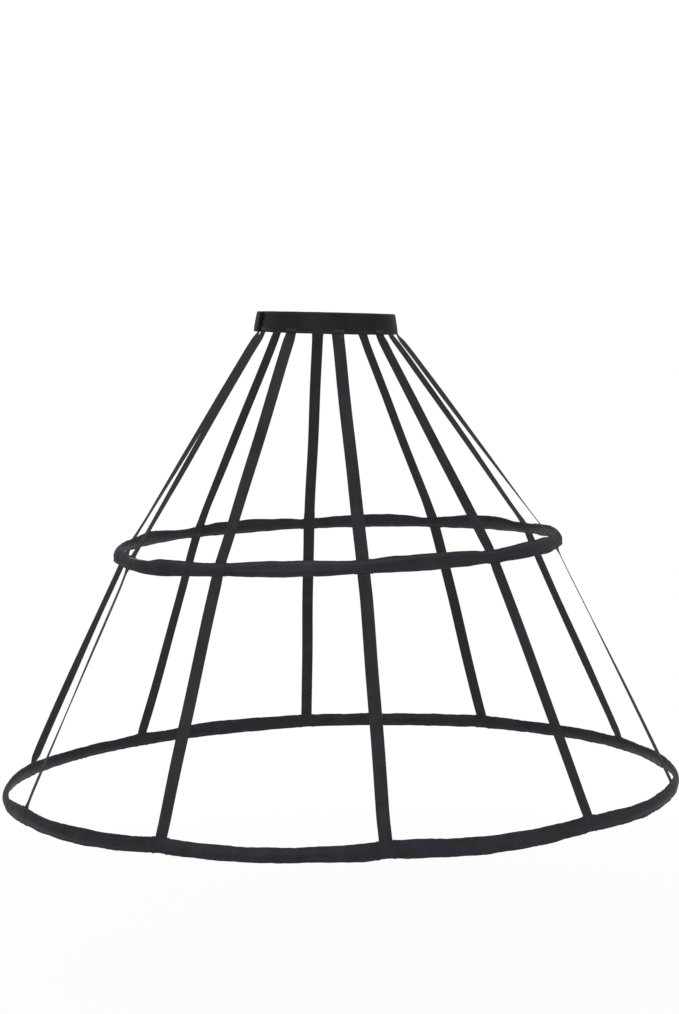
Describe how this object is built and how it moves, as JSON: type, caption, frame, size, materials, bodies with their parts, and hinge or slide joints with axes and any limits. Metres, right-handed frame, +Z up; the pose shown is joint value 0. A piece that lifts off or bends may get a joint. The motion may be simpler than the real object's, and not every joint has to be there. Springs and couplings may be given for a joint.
{
  "type": "crinoline cage",
  "caption": "Open cage petticoat: oval ribbon waistband, flat hanging tapes and sprung hoops in gathered ribbon casings.",
  "frame": {"origin": "centre of the waistband's oval at half its height, where the cage hangs from", "axes": "+Z up out of the waist, -Y towards the wearer's front, +X towards the wearer's left"},
  "size_m": [1.0072, 1.0089, 0.7136],
  "materials": {
    "band_ribbon": "black ribbed ribbon, folded and stitched, dull sheen",
    "tape_ribbon": "black satin ribbon, soft grey sheen",
    "casing_ribbon": "black satin ribbon, gathered into small puckers, blue-grey sheen",
    "hook_and_loop": "black woven hook-and-loop tape, matt",
    "spring_steel": "flat spring steel, dull",
    "sleeve_steel": "drawn steel sleeve, dull"
  },
  "bodies": {
    "root": {"waistband": "band_ribbon", "closure_hook_tape": "hook_and_loop", "closure_loop_tape": "hook_and_loop", "tape_01": "tape_ribbon", "tape_02": "tape_ribbon", "tape_03": "tape_ribbon", "tape_04": "tape_ribbon", "tape_05": "tape_ribbon", "tape_06": "tape_ribbon", "tape_07": "tape_ribbon", "tape_08": "tape_ribbon", "tape_09": "tape_ribbon", "tape_10": "tape_ribbon", "upper_hoop_casing": "casing_ribbon", "upper_hoop_strip": "spring_steel", "upper_hoop_sleeve": "sleeve_steel", "lower_hoop_casing": "casing_ribbon", "lower_hoop_strip": "spring_steel", "lower_hoop_sleeve": "sleeve_steel"}
  },
  "joints": []
}
